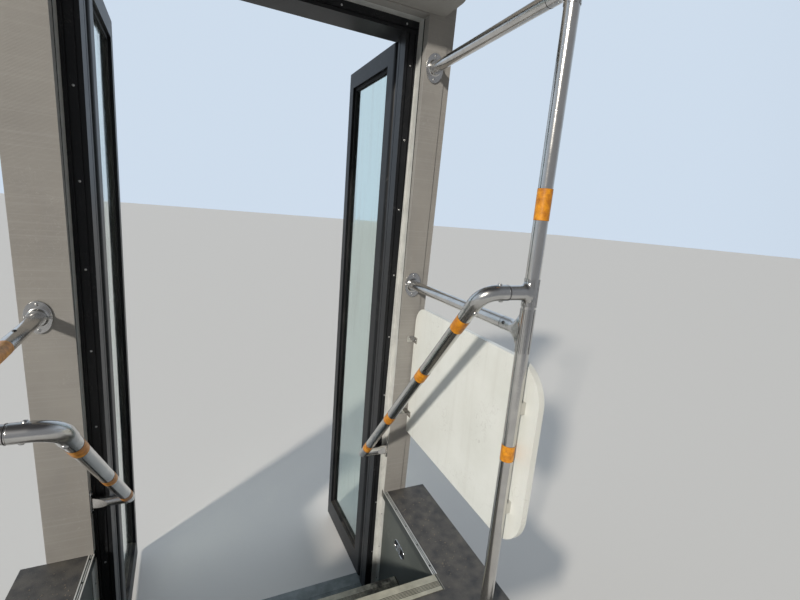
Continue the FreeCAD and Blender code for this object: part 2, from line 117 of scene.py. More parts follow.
def ramp(tree, value, start, end, low=0.0, high=1.0):
    ends = {"From Min": start, "From Max": end, "To Min": low, "To Max": high}
    return place(tree, "ShaderNodeMapRange", {"Value": value, **ends}).outputs["Result"]


# One within half a width of the middle, and nothing elsewhere
def band(tree, value, middle, half):
    inputs = {0: value, 1: middle, 2: half}
    return place(tree, "ShaderNodeMath", inputs, operation="COMPARE").outputs[0]


def noiseLevel(tree, inputs, **settings):
    return place(tree, "ShaderNodeTexNoise", inputs, **settings).outputs["Fac"]


def split(tree, vector):
    return place(tree, "ShaderNodeSeparateXYZ", {0: vector}).outputs


def facing(tree):
    return split(tree, place(tree, "ShaderNodeNewGeometry").outputs["Normal"])


def mixColour(tree, mask, first, second):
    node = place(tree, "ShaderNodeMix", {"Factor": mask}, data_type="RGBA")
    colours = [socket for socket in node.inputs if socket.type == "RGBA"]
    for socket, value in zip(colours, (first, second)):
        if isinstance(value, tuple):
            socket.default_value = (*value, 1)
        else:
            tree.links.new(value, socket)
    return [socket for socket in node.outputs if socket.type == "RGBA"][0]


# Patches: soft spots between two levels of a noise
def makePatches():
    tree, given, out = newEffect("patches", {"Scale": 8.0, "From": 0.45, "To": 0.7})
    fixed = {"Roughness": 0.62, "Detail": 5.0}
    level = noiseLevel(tree, {"Vector": given["Position"], "Scale": given["Scale"], **fixed})
    tree.links.new(ramp(tree, level, given["From"], given["To"]), out)
    return tree


# Streaks: runs that hang down a surface
def makeStreaks():
    tree, given, out = newEffect("streaks", {"Width": 60.0, "Length": 2.5})
    sizes = {"X": given["Width"], "Y": given["Width"], "Z": given["Length"]}
    size = place(tree, "ShaderNodeCombineXYZ", sizes).outputs[0]
    factors = {0: given["Position"], 1: size}
    stretched = place(tree, "ShaderNodeVectorMath", factors, operation="MULTIPLY").outputs[0]
    level = noiseLevel(tree, {"Vector": stretched, "Scale": 1.0, "Detail": 4.0})
    tree.links.new(ramp(tree, level, 0.52, 0.75), out)
    return tree


# Grain: fine rings across a tube or strokes along a sheet, from the distance along one axis
def makeGrain():
    values = {"Axis": (0, 0, 1), "Fineness": 1400.0, "Height": 0.25}
    tree, given, out = newEffect("grain", values, "Normal")
    factors = {0: given["Position"], 1: given["Axis"]}
    along = place(tree, "ShaderNodeVectorMath", factors, operation="DOT_PRODUCT").outputs["Value"]
    turns = maths(tree, "MULTIPLY", along, given["Fineness"])
    fixed = {"Scale": 1.0, "Detail": 3.0}
    inputs = {"Vector": given["Position"], "W": turns, **fixed}
    level = noiseLevel(tree, inputs, noise_dimensions="4D")
    inputs = {"Height": level, "Strength": given["Height"], "Distance": 0.4 * mm}
    tree.links.new(place(tree, "ShaderNodeBump", inputs).outputs["Normal"], out)
    return tree


# Dust: settles on faces that look up, in uneven drifts
def makeDust():
    tree, given, out = newEffect("dust", {"Amount": 0.5, "Scale": 14.0})
    upward = ramp(tree, facing(tree)["Z"], 0.2, 0.9)
    level = noiseLevel(tree, {"Vector": given["Position"], "Scale": given["Scale"], "Detail": 8.0})
    both = maths(tree, "MULTIPLY", upward, ramp(tree, level, 0.3, 0.75))
    tree.links.new(maths(tree, "MULTIPLY", both, given["Amount"]), out)
    return tree


# Scratches: thin lines where a noise crosses its middle level, kept in patches
def makeScratches():
    tree, given, out = newEffect("scratches", {"Scale": 30.0, "Amount": 0.5})
    fixed = {"Detail": 2.0, "Distortion": 1.5}
    level = noiseLevel(tree, {"Vector": given["Position"], "Scale": given["Scale"], **fixed})
    offset = maths(tree, "ABSOLUTE", maths(tree, "SUBTRACT", level, 0.5))
    patch = noiseLevel(tree, {"Vector": given["Position"], "Scale": 9.0, "Detail": 3.0})
    both = maths(tree, "MULTIPLY", ramp(tree, offset, 0.012, 0.0), ramp(tree, patch, 0.5, 0.62))
    tree.links.new(maths(tree, "MULTIPLY", both, given["Amount"]), out)
    return tree


patches = makePatches()
streaks = makeStreaks()
grain = makeGrain()
dust = makeDust()
scratches = makeScratches()
print("shared effects made")


def openMaterial(material):
    tree = material.node_tree
    position = tree.nodes.new("ShaderNodeTexCoord").outputs["Object"]
    return tree, tree.nodes["Principled BSDF"].inputs, position


def startMaterial(name, roughness, metallic=0.0):
    material = bpy.data.materials.new(name)
    material.use_nodes = True
    tree, sockets, position = openMaterial(material)
    sockets["Roughness"].default_value = roughness
    sockets["Metallic"].default_value = metallic
    return material, tree, sockets, position


def roughen(tree, sockets, mask, low, high):
    tree.links.new(ramp(tree, mask, 0, 1, low, high), sockets["Roughness"])


def addBump(tree, sockets, height, strength):
    inputs = {"Height": height, "Strength": strength, "Distance": 0.6 * mm}
    tree.links.new(place(tree, "ShaderNodeBump", inputs).outputs["Normal"], sockets["Normal"])


def makeMetal(name, look):
    material, tree, sockets, position = startMaterial(name, look["rough"], look["metal"])
    smear = useEffect(tree, patches, position, {"Scale": 22.0, "From": 0.4, "To": 0.75})
    colour = mixColour(tree, smear, look["bright"], look["dull"])
    worn = useEffect(tree, scratches, position, {"Scale": 70.0, "Amount": 0.35})
    tree.links.new(mixColour(tree, worn, colour, look["nick"]), sockets["Base Color"])
    roughen(tree, sockets, smear, look["rough"], look["rough"] + look["haze"])
    fine = {"Axis": look["axis"], "Fineness": look["fineness"], "Height": look["depth"]}
    tree.links.new(useEffect(tree, grain, position, fine), sockets["Normal"])
    return material


# Grime over a metal, and painted shade laid on the same way, hides its colour and its shine
def addGrimeAndShade(tree, sockets, mask, look):
    bare = sockets["Base Color"].links[0].from_socket
    tree.links.new(mixColour(tree, mask, bare, look["grime"]), sockets["Base Color"])
    tree.links.new(ramp(tree, mask, 0, 1, look["metal"], 0.0), sockets["Metallic"])


# The nosings hold dirt in grooves at given depths below each step's top, and round one trodden spot
def makeNosing(name, look):
    material = makeMetal(name, look)
    tree, sockets, position = openMaterial(material)
    below = maths(tree, "SUBTRACT", look["top"], split(tree, position)["Z"])
    steps = maths(tree, "ADD", maths(tree, "DIVIDE", below, riser), look["nudge"])
    depth = maths(tree, "MULTIPLY", maths(tree, "FRACT", steps), riser)
    upward = maths(tree, "GREATER_THAN", facing(tree)["Z"], 0.5)
    trodden = maths(tree, "MULTIPLY", band(tree, depth, *look["deep"]), upward)
    packed = maths(tree, "MAXIMUM", band(tree, depth, *look["shallow"]), trodden)
    ends = {0: position, 1: look["worn"]}
    reach = place(tree, "ShaderNodeVectorMath", ends, operation="DISTANCE").outputs["Value"]
    near = ramp(tree, reach, *look["spread"])
    rubbed = useEffect(tree, patches, position, {"Scale": 40.0, "From": 0.3, "To": 0.6})
    dark = maths(tree, "MAXIMUM", packed, maths(tree, "MULTIPLY", near, rubbed))
    addGrimeAndShade(tree, sockets, dark, look)
    return material


def makePaint(name, look):
    material, tree, sockets, position = startMaterial(name, look["rough"])
    tone = useEffect(tree, patches, position, {"Scale": look["spots"], "From": 0.35, "To": 0.7})
    colour = mixColour(tree, tone, look["base"], look["faded"])
    worn = useEffect(tree, scratches, position, {"Scale": look["scratch"], "Amount": 0.5})
    colour = mixColour(tree, worn, colour, look["nick"])
    runs = useEffect(tree, streaks, position, {"Width": 38.0, "Length": 2.4})
    colour = mixColour(tree, maths(tree, "MULTIPLY", runs, look["drips"]), colour, look["dirt"])
    height = noiseLevel(tree, {"Vector": position, "Scale": look["pebble"], "Detail": 3.0})
    if look["weave"]:
        lines = useEffect(tree, streaks, position, {"Width": 1.2, "Length": 260.0})
        colour = mixColour(tree, maths(tree, "MULTIPLY", lines, 0.3), colour, look["nick"])
        inputs = {"Vector": position, "Scale": look["weave"], "Distortion": 0.6, "Detail": 1.0}
        threads = place(tree, "ShaderNodeTexWave", inputs, bands_direction="Z").outputs["Fac"]
        height = maths(tree, "ADD", height, threads)
    film = useEffect(tree, dust, position, {"Amount": look["dust"]})
    tree.links.new(mixColour(tree, film, colour, look["dirt"]), sockets["Base Color"])
    roughen(tree, sockets, tone, look["rough"], look["rough"] + look["haze"])
    sockets["Specular IOR Level"].default_value = look["shine"]
    addBump(tree, sockets, height, look["depth"])
    return material


# The trim along the well's edges is light on top, with two dark lines of painted shade where its grooves
# would be, and darker on its side faces
def makeEdgeTrim(name, look):
    material = makeMetal(name, look)
    tree, sockets, position = openMaterial(material)
    reach = maths(tree, "ABSOLUTE", split(tree, position)["X"])
    # Painted shade: two dark lines standing in for the trim's shaded grooves
    lines = [band(tree, reach, frameSide + offset, look["line"]) for offset in look["lines"]]
    sides = maths(tree, "GREATER_THAN", maths(tree, "ABSOLUTE", facing(tree)["X"]), 0.5)
    addGrimeAndShade(tree, sockets, maths(tree, "MAXIMUM", sides, maths(tree, "MAXIMUM", *lines)), look)
    return material


def makeGlass(name, look):
    material, tree, sockets, position = startMaterial(name, look["rough"])
    sockets["Transmission Weight"].default_value = 1.0
    sockets["IOR"].default_value = 1.45
    marks = useEffect(tree, streaks, position, {"Width": 55.0, "Length": 3.0})
    spots = useEffect(tree, patches, position, {"Scale": 90.0, "From": 0.6, "To": 0.78})
    film = maths(tree, "MULTIPLY", maths(tree, "ADD", marks, spots), look["film"])
    tree.links.new(mixColour(tree, film, look["tint"], look["dirt"]), sockets["Base Color"])
    roughen(tree, sockets, film, look["rough"], look["hazy"])
    return material


def makeSpeckled(name, look):
    material, tree, sockets, position = startMaterial(name, look["rough"])
    fleck = place(tree, "ShaderNodeTexVoronoi", {"Vector": position, "Scale": 420.0})
    pick = ramp(tree, fleck.outputs["Distance"], 0.22, 0.12)
    colour = mixColour(tree, pick, look["base"], look["fleck"])
    tracked = useEffect(tree, patches, position, {"Scale": 9.0, "From": 0.42, "To": 0.68})
    colour = mixColour(tree, maths(tree, "MULTIPLY", tracked, look["tracked"]), colour, look["grime"])
    film = useEffect(tree, dust, position, {"Amount": 0.5, "Scale": 26.0})
    tree.links.new(mixColour(tree, film, colour, look["dirt"]), sockets["Base Color"])
    addBump(tree, sockets, noiseLevel(tree, {"Vector": position, "Scale": 600.0}), look["depth"])
    return material


# Ends of a slanted rail's centre line, found from its box in a few rounds
def slantAxis(side):
    lo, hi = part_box(f"grab_rail_{side}")
    r = tube["radius"]
    x = lo.x + r if side == "rear" else hi.x - r
    low = Vector((x, hi.y - r, lo.z + r))
    way = (low - Vector((x, lo.y, hi.z))).normalized()
    for turn in range(6):
        high = Vector((x, lo.y + r * abs(way.z), hi.z - r * way.y))
        way = (low - high).normalized()
    return high, low


dusty = (0.33, 0.29, 0.24)
steel = {
    "bright": (0.64, 0.625, 0.6),
    "dull": (0.54, 0.53, 0.515),
    "nick": (0.76, 0.75, 0.73),
    "rough": 0.16,
    "haze": 0.08,
    "fineness": 1500.0,
    "depth": 0.16,
    "axis": (0, 0, 1),
    "metal": 1.0,
}
castLook = {**steel, "bright": (0.6, 0.59, 0.575), "dull": (0.5, 0.5, 0.49), "rough": 0.2, "depth": 0.05}
bandLook = {
    **steel,
    "bright": (0.66, 0.67, 0.65),
    "dull": (0.5, 0.51, 0.5),
    "rough": 0.42,
    "haze": 0.12,
    "metal": 0.12,
    "nick": (0.1, 0.1, 0.1),
}
# The trim's dark colour is painted shade in its two groove lines, and also darkens its side faces
edgeLook = {**bandLook, "lines": (3 * mm, 8.5 * mm), "line": 1.3 * mm, "grime": (0.05, 0.056, 0.054)}
sillLook = {**bandLook, "bright": (0.22, 0.25, 0.25), "dull": (0.12, 0.14, 0.14), "axis": (0, 1, 0)}
nosingLook = {
    **bandLook,
    "bright": (0.6, 0.57, 0.46),
    "dull": (0.4, 0.38, 0.3),
    "grime": (0.035, 0.032, 0.026),
    "axis": (0, 1, 0),
    "rough": 0.45,
    "metal": 0.5,
    "top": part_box("step_nosings")[1].z,
    "nudge": 0.0002,
    "shallow": (0.9 * mm, 0.65 * mm),
    "deep": (3.3 * mm, 0.8 * mm),
    "worn": (frameSide - 70 * mm, frameInner - 195 * mm, floorTop - riser),
    "spread": (140 * mm, 30 * mm),
}
lockLook = {**steel, "bright": (0.75, 0.75, 0.75), "rough": 0.12}
paint = {
    "base": (0.01, 0.011, 0.013),
    "faded": (0.017, 0.018, 0.02),
    "nick": (0.1, 0.1, 0.1),
    "dirt": dusty,
    "rough": 0.34,
    "haze": 0.08,
    "dust": 0.35,
    "scratch": 40.0,
    "pebble": 250.0,
    "depth": 0.08,
    "shine": 0.22,
    "drips": 0.0,
    "weave": 0.0,
    "spots": 5.0,
}
wallLook = {
    **paint,
    "shine": 0.4,
    "drips": 0.12,
    "weave": 110.0,
    "base": (0.29, 0.28, 0.265),
    "faded": (0.345, 0.335, 0.315),
    "nick": (0.42, 0.41, 0.4),
    "rough": 0.6,
    "pebble": 700.0,
    "depth": 0.5,
}
coverLook = {
    **wallLook,
    "base": (0.3, 0.29, 0.268),
    "faded": (0.34, 0.33, 0.31),
    "pebble": 500.0,
    "weave": 0.0,
}
panelLook = {
    **paint,
    "base": (0.78, 0.8, 0.77),
    "faded": (0.7, 0.72, 0.68),
    "nick": (0.45, 0.44, 0.42),
    "rough": 0.3,
    "scratch": 26.0,
    "depth": 0.05,
    "shine": 0.5,
    "drips": 0.1,
}
wellLook = {
    **paint,
    "base": (0.075, 0.085, 0.08),
    "faded": (0.11, 0.12, 0.112),
    "nick": (0.3, 0.3, 0.28),
    "rough": 0.42,
    "dust": 0.8,
}
chassisLook = {**paint, "base": (0.035, 0.035, 0.036), "faded": (0.07, 0.06, 0.05), "rough": 0.55}
woodLook = {
    **paint,
    "base": (0.42, 0.29, 0.17),
    "faded": (0.3, 0.2, 0.12),
    "nick": (0.5, 0.4, 0.28),
    "rough": 0.7,
}
rubberLook = {**paint, "base": (0.014, 0.014, 0.015), "faded": (0.03, 0.03, 0.03), "rough": 0.65}
glassLook = {"tint": (0.74, 0.86, 0.82), "dirt": (0.6, 0.6, 0.56), "film": 0.35, "rough": 0.02, "hazy": 0.45}
vinylLook = {
    "base": (0.042, 0.043, 0.046),
    "fleck": (0.16, 0.16, 0.16),
    "grime": (0.07, 0.066, 0.058),
    "dirt": (0.2, 0.18, 0.15),
    "tracked": 0.2,
    "rough": 0.72,
    "depth": 0.35,
}

slotMaterials = {
    "black_frame": makePaint("blackFrame", paint),
    "wall_grey": makePaint("wallLining", wallLook),
    "trim_grey": makeMetal("trimAluminium", bandLook),
    "cover_grey": makePaint("coverPaint", coverLook),
    "stainless": makeMetal("stainless", steel),
    "casting": makeMetal("casting", castLook),
    "panel_white": makePaint("panelLaminate", panelLook),
    "nosing": makeNosing("nosingAluminium", nosingLook),
    "floor_vinyl": makeSpeckled("floorVinyl", vinylLook),
    "well_paint": makePaint("wellPaint", wellLook),
    "plywood": makePaint("plywoodEdge", woodLook),
    "chassis_paint": makePaint("chassisPaint", chassisLook),
    "rubber": makePaint("rubber", rubberLook),
    "lock_metal": makeMetal("lockMetal", lockLook),
    "tinted_glass": makeGlass("tintedGlass", glassLook),
}
ownMaterials = {
    "well_edge_trims": makeEdgeTrim("edgeTrim", edgeLook),
    "door_sill": makeMetal("sillAluminium", sillLook),
}
for side in ("front", "rear"):
    high, low = slantAxis(side)
    look = {**steel, "axis": tuple((low - high).normalized())}
    ownMaterials[f"grab_rail_{side}"] = makeMetal(f"slantedSteel{side.title()}", look)
crossSteel = makeMetal("crossSteel", {**steel, "axis": (0, 1, 0)})
for name in ("guard_rail_front", "guard_rail_rear", "overhead_rail_rear"):
    ownMaterials[name] = crossSteel

for part in frame["record"]["subparts"]:
    node = nodes[part["node"]]
    if not node.material_slots:
        node.data.materials.append(None)
    for materialSlot in node.material_slots:
        materialSlot.material = ownMaterials.get(node.name, slotMaterials[part["material_slot"]])
print("frame dressed")


def meshOf(name, points, faces, material):
    mesh = bpy.data.meshes.new(name)
    mesh.from_pydata(points, [], faces)
    mesh.materials.append(material)
    mesh.polygons.foreach_set("use_smooth", [True] * len(mesh.polygons))
    return mesh


def addPiece(name, mesh):
    piece = bpy.data.objects.new(name, mesh)
    bpy.context.scene.collection.objects.link(piece)
    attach(piece, "entrance")
    return piece


# Thin pieces are gathered from loops of points, then turned into one object each
class Shape:
    def __init__(self):
        self.points = []
        self.faces = []

    def loop(self, points):
        first = len(self.points)
        self.points += points
        return list(range(first, len(self.points)))

    def ring(self, centre, way, radii):
        way = way.normalized()
        side = way.orthogonal().normalized()
        other = way.cross(side)
        points = []
        for i, radius in enumerate(radii):
            a = math.tau * i / len(radii)
            points.append(centre + (side * math.cos(a) + other * math.sin(a)) * radius)
        return self.loop(points)

    def skin(self, loops):
        for lower, upper in zip(loops, loops[1:]):
            for i in range(len(lower)):
                j = (i + 1) % len(lower)
                self.faces.append((lower[i], lower[j], upper[j], upper[i]))

    def cap(self, loop, flip=False):
        self.faces.append(tuple(loop[::-1] if flip else loop))

    def build(self, name, material):
        mesh = meshOf(name, [tuple(p) for p in self.points], self.faces, material)
        mesh.validate()
        mesh.set_sharp_from_angle(angle=math.radians(35))
        addPiece(name, mesh)


# A cast form is the zero level of a distance field, walked cell by cell
def roundedUnion(first, second, radius):
    a = np.maximum(radius - first, 0)
    b = np.maximum(radius - second, 0)
    return np.maximum(radius, np.minimum(first, second)) - np.sqrt(a * a + b * b)


def softLimit(first, second, blend):
    share = np.clip(0.5 - 0.5 * (second - first) / blend, 0, 1)
    return second + (first - second) * share + blend * share * (1 - share)


def cylinderField(points, start, end, radius):
    way = np.array(end - start)
    length = np.linalg.norm(way)
    offset = points - np.array(start)
    along = offset @ (way / length)
    across = np.linalg.norm(offset - np.outer(along, way / length), axis=1)
    return np.maximum(across - radius, np.maximum(-along, along - length))


# The corners of those cells that have so many chosen ones, with the chosen ones first
def chosenFirst(quad, chosen, count):
    rows = chosen.sum(1) == count
    order = np.argsort(~chosen[rows], axis=1, kind="stable")
    return np.take_along_axis(quad[rows], order, 1)


# Each cell is cut into six tetrahedra, and the points found on their edges are drawn onto the zero level
def cellSurface(field, lo, hi, cell):
    counts = [int(math.ceil((b - a) / cell)) + 1 for a, b in zip(lo, hi)]
    axes = [a + cell * np.arange(n) for a, n in zip(lo, counts)]
    points = np.stack(np.meshgrid(*axes, indexing="ij"), -1).reshape(-1, 3)
    values = field(points)
    index = np.arange(len(points)).reshape(counts)
    ends = (slice(None, -1), slice(1, None))
    corners = [index[ends[i >> 2 & 1], ends[i >> 1 & 1], ends[i & 1]].ravel() for i in range(8)]
    triangles = []
    for b, c in ((1, 3), (3, 2), (2, 6), (6, 4), (4, 5), (5, 1)):
        quad = np.stack([corners[0], corners[b], corners[c], corners[7]], 1)
        inside = values[quad] < 0
        for chosen in (inside, ~inside):
            triangles.append(chosenFirst(quad, chosen, 1)[:, [[0, 1], [0, 2], [0, 3]]])
        pair = chosenFirst(quad, inside, 2)
        for sides in ([[0, 2], [0, 3], [1, 3]], [[0, 2], [1, 3], [1, 2]]):
            triangles.append(pair[:, sides])
    edges = np.sort(np.concatenate(triangles).reshape(-1, 2), axis=1)
    unique, inverse = np.unique(edges, axis=0, return_inverse=True)
    before, after = values[unique[:, 0]], values[unique[:, 1]]
    share = (before / (before - after))[:, None]
    surface = points[unique[:, 0]] * (1 - share) + points[unique[:, 1]] * share
    faces = inverse.reshape(-1, 3)
    walk = {"step": cell * 0.2, "flattest": 0.2, "turns": 2}

    def slope(at):
        steps = walk["step"] * np.eye(3)
        return np.stack([field(at + step) - field(at - step) for step in steps], 1) / (2 * walk["step"])

    for turn in range(walk["turns"]):
        rise = slope(surface)
        steepness = np.maximum((rise * rise).sum(1), walk["flattest"])
        surface = surface - rise * (field(surface) / steepness)[:, None]
    normals = slope(surface)
    normals /= np.maximum(np.linalg.norm(normals, axis=1), 1e-6)[:, None]
    tri = surface[faces]
    across = np.cross(tri[:, 1] - tri[:, 0], tri[:, 2] - tri[:, 0])
    flipped = (across * normals[faces].sum(1)).sum(1) < 0
    faces[flipped] = faces[flipped][:, ::-1]
    keep = np.linalg.norm(across, axis=1) > 1e-12
    return surface, faces[keep], normals


def buildField(name, forms):
    points, faces, normals = [], [], []
    count = 0
    for form in forms:
        surface, triangles, slopes = cellSurface(**form)
        points.append(surface)
        faces.append(triangles + count)
        normals.append(slopes)
        count += len(surface)
    triangles = np.concatenate(faces).tolist()
    mesh = meshOf(name, np.concatenate(points).tolist(), triangles, slotMaterials["casting"])
    mesh.normals_split_custom_set_from_vertices(np.concatenate(normals).tolist())
    return addPiece(name, mesh)


# Castings: the root of each branch runs into its sleeve with a wide round
casting = {
    "sleeve": 17.1 * mm,
    "branch": 16.4 * mm,
    "bore": 16.0 * mm,
    "blend": 3 * mm,
    "margin": 3 * mm,
    "cell": 1.5 * mm,
}
elbow = {"turn": 36 * mm, "radius": 17.3 * mm, "leg": 60 * mm, "edge": 1.2 * mm}
foot = {
    "half": 11 * mm,
    "straight": 27 * mm,
    "thick": 4 * mm,
    "edge": 1.5 * mm,
    "inset": 12 * mm,
    "margin": 2 * mm,
    "cell": 1 * mm,
}
flange = {
    "width": 30 * mm,
    "height": 43 * mm,
    "plate": 4 * mm,
    "hub": 20.5 * mm,
    "rise": 15 * mm,
    "round": 5 * mm,
    "cell": 1.4 * mm,
}
tees = {
    ("guard", "front"): {"length": 76 * mm, "reach": 75 * mm, "root": 19 * mm},
    ("guard", "rear"): {"length": 102 * mm, "reach": 75 * mm, "root": 28 * mm},
    ("overhead", "rear"): {"length": 70 * mm, "reach": 64 * mm, "root": 15 * mm},
}
grabTees = {
    "front": {"length": 48 * mm, "reach": 68 * mm, "root": 10 * mm},
    "rear": {"length": 62 * mm, "reach": 68 * mm, "root": 10 * mm},
}


# A form is walked in the box round its ends, with margins
def formOf(field, ends, margins, cell):
    lo = Vector([min(values) for values in zip(*ends)])
    hi = Vector([max(values) for values in zip(*ends)])
    for margin in margins:
        lo, hi = lo - margin, hi + margin
    return {"field": field, "lo": lo, "hi": hi, "cell": cell}


def teeForm(centre, branch, tee):
    side = np.array(branch.cross(up).normalized())
    half = up * (tee["length"] / 2)
    tip = centre + branch * tee["reach"]

    def field(points):
        sleeve = cylinderField(points, centre - half, centre + half, casting["sleeve"])
        arm = cylinderField(points, centre, tip, casting["branch"])
        along = (points - np.array(centre)) @ np.array(branch)
        fade = np.clip((along + casting["blend"]) / casting["sleeve"], 0.01, 1)
        both = roundedUnion(sleeve, arm, tee["root"] * fade)
        across = np.abs((points - np.array(centre)) @ side) - casting["sleeve"]
        both = np.maximum(both, np.abs(points[:, 2] - centre.z) - tee["length"] / 2)
        both = softLimit(both, across, casting["blend"])
        return np.maximum(both, -cylinderField(points, centre - up, centre + up, casting["bore"]))

    wide = Vector((casting["sleeve"], casting["sleeve"], 0))
    margins = (wide, Vector([casting["margin"]] * 3))
    return formOf(field, [centre - half, centre + half, tip], margins, casting["cell"])


def elbowForm(grab, reach):
    corner, outward, down = grab["corner"], grab["outward"], grab["down"]
    turn = elbow["turn"]
    centre = corner + (outward + down) * turn
    axes = np.array([outward, down, outward.cross(down)])

    def field(points):
        a, b, c = ((points - np.array(centre)) @ axes.T).T
        arc = np.hypot(np.hypot(a, b) - turn, c)
        arm = np.hypot(b + turn, c)
        leg = np.hypot(a + turn, c)
        tubes = np.where(a > 0, np.where(b > 0, np.minimum(arm, leg), arm), np.where(b > 0, leg, arc))
        form = softLimit(tubes - elbow["radius"], a - (reach - turn), elbow["edge"])
        return softLimit(form, b - (elbow["leg"] - turn), elbow["edge"])

    ends = [corner, corner + outward * reach, corner + down * elbow["leg"]]
    margin = Vector([elbow["radius"] + casting["margin"]] * 3)
    return formOf(field, ends, (margin,), casting["cell"])


def footForm(middle, inward):
    def field(points):
        local = points - np.array(middle)
        reach = np.hypot(local[:, 1], np.maximum(np.abs(local[:, 2]) - foot["straight"], 0)) - foot["half"]
        above = local[:, 0] * inward - foot["thick"]
        return np.maximum(softLimit(reach, above, foot["edge"]), -local[:, 0] * inward)

    size = (foot["thick"], foot["half"], foot["straight"] + foot["half"])
    margin = Vector([length + foot["margin"] for length in size])
    return formOf(field, [middle], (margin,), foot["cell"])


def flangeForm(seat):
    axes = np.array([rearward, rearward.cross(lean), lean])

    def field(points):
        local = (points - np.array(seat)) @ axes.T
        reach = np.sqrt((local[:, 0] / flange["width"]) ** 2 + (local[:, 1] / flange["height"]) ** 2)
        plate = np.maximum((reach - 1) * flange["width"], local[:, 2] - flange["plate"])
        hub = np.maximum(np.hypot(local[:, 0], local[:, 1]) - flange["hub"], local[:, 2] - flange["rise"])
        return np.maximum(roundedUnion(plate, hub, flange["round"]), -local[:, 2])

    margin = Vector((flange["width"] + 3 * mm, flange["rise"] + 5 * mm, flange["height"] + 3 * mm))
    return formOf(field, [seat], (margin,), flange["cell"])


def railPlaces(kind, side):
    lo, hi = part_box(f"stanchion_{side}")
    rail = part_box(f"{kind}_rail_{side}")
    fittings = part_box(f"{kind}_fittings_{side}")
    z = (rail[0].z + rail[1].z) / 2
    joint = Vector(((lo.x + hi.x) / 2, (lo.y + hi.y) / 2, z))
    wallX = fittings[0].x + flange["width"] if side == "front" else fittings[1].x - flange["width"]
    seat = Vector((wallX, fittings[1].y - flange["height"] * wallLean, z))
    return {"joint": joint, "seat": seat, "way": (seat - joint).normalized()}


def grabPlaces(side):
    high, low = slantAxis(side)
    down = (low - high).normalized()
    corner = high - down * elbow["leg"]
    outward = rearward * (1 if side == "rear" else -1)
    lo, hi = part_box(f"stanchion_{side}")
    post = Vector(((lo.x + hi.x) / 2, corner.y, corner.z))
    seat = Vector((outward.x * frameSide, frameInner - foot["inset"], low.z))
    return {"corner": corner, "outward": outward, "down": down, "low": low, "post": post, "seat": seat}


rails = {ends: railPlaces(*ends) for ends in tees}
grabs = {side: grabPlaces(side) for side in grabTees}


def makeCastings():
    for (kind, side), tee in tees.items():
        rail = rails[kind, side]
        forms = [teeForm(rail["joint"], rail["way"], tee), flangeForm(rail["seat"])]
        piece = buildField(f"{kind}_castings_{side}", forms)
        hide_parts(f"{kind}_fittings_{side}")
    for side, tee in grabTees.items():
        grab = grabs[side]
        reach = (grab["post"] - grab["corner"]).length - tee["reach"]
        forms = [
            teeForm(grab["post"], -grab["outward"], tee),
            elbowForm(grab, reach),
            footForm(grab["seat"], -grab["outward"].x),
        ]
        piece = buildField(f"grab_castings_{side}", forms)
        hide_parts(f"grab_fittings_{side}")


makeCastings()
print("castings formed")


# Amber grip tape on the slanted rails, the front guard rail and the rear stanchion
def makeTapes():
    tape = {
        "gap": 0.05 * mm,
        "thickness": 0.5 * mm,
        "steps": 40,
        "rings": 8,
        "ragged": 0.9 * mm,
        "slant": 42 * mm,
        "guard": 90 * mm,
        "shares": {"front": (0.165, 0.58, 0.93), "rear": (0.117, 0.368, 0.665, 0.933)},
        "guardShare": 0.411,
        "heights": ((1110 * mm, 65 * mm), (532 * mm, 40 * mm)),
    }
    look = {
        **paint,
        "base": (0.78, 0.32, 0.015),
        "faded": (0.4, 0.13, 0.012),
        "nick": (0.1, 0.05, 0.02),
        "rough": 0.38,
        "scratch": 60.0,
        "pebble": 60.0,
        "depth": 0.6,
        "shine": 0.5,
        "dust": 0.6,
        "spots": 75.0,
    }
    amber = makePaint("amberTape", look)
    ends = []

    def wrap(shape, middle, way, width):
        inner = tube["radius"] + tape["gap"]
        waves = [chance.uniform(-1, 1) * tape["ragged"] for i in range(2)]
        start = middle - way * (width / 2 - waves[0])
        end = middle + way * (width / 2 + waves[1])
        lap = [inner + tape["thickness"] * (0.7 + 0.3 * i / tape["steps"]) for i in range(tape["steps"])]
        loops = [shape.ring(start, way, [inner] * tape["steps"])]
        for k in range(tape["rings"] + 1):
            along = (k / tape["rings"] - 0.5) * width
            edge = waves[0] if k == 0 else waves[1] if k == tape["rings"] else 0
            loops.append(shape.ring(middle + way * (along + edge), way, lap))
        loops.append(shape.ring(end, way, [inner] * tape["steps"]))
        shape.skin(loops)
        ends.extend([(start, way), (end, way)])

    for side, shares in tape["shares"].items():
        grab = grabs[side]
        shape = Shape()
        for share in shares:
            wrap(shape, grab["corner"].lerp(grab["low"], share), grab["down"], tape["slant"])
        shape.build(f"grip_tape_{side}", amber)
    rail = rails["guard", "front"]
    shape = Shape()
    wrap(shape, rail["joint"].lerp(rail["seat"], tape["guardShare"]), rail["way"], tape["guard"])
    shape.build("guard_tape", amber)
    lo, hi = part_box("stanchion_rear")
    post = (lo + hi) / 2
    shape = Shape()
    for height, width in tape["heights"]:
        wrap(shape, Vector((post.x, post.y, floorTop + height)), up, width)
    shape.build("stanchion_tape", amber)
    return ends


tapeEnds = makeTapes()
print("tapes wrapped")


# Screws: a domed head and a star-shaped pit, ring by ring, as shares of a screw's rise and radius
screw = {"steps": 20, "head": ((0, 1), (0.35, 0.97), (0.85, 0.7)), "pit": ((1, 1.15), (0.35, 0.8))}
small = {"radius": 3.0 * mm, "rise": 1.4 * mm}
large = {"radius": 4.4 * mm, "rise": 2.6 * mm}
proud = {"radius": 5.2 * mm, "rise": 3.6 * mm}
headLook = {**steel, "bright": (0.58, 0.58, 0.58), "rough": 0.28}
brightScrews = makeMetal("screwSteel", headLook)
blackLook = {**headLook, "bright": (0.08, 0.08, 0.085), "dull": (0.05, 0.05, 0.05), "nick": (0.3, 0.3, 0.3)}
blackScrews = makeMetal("blackScrews", blackLook)


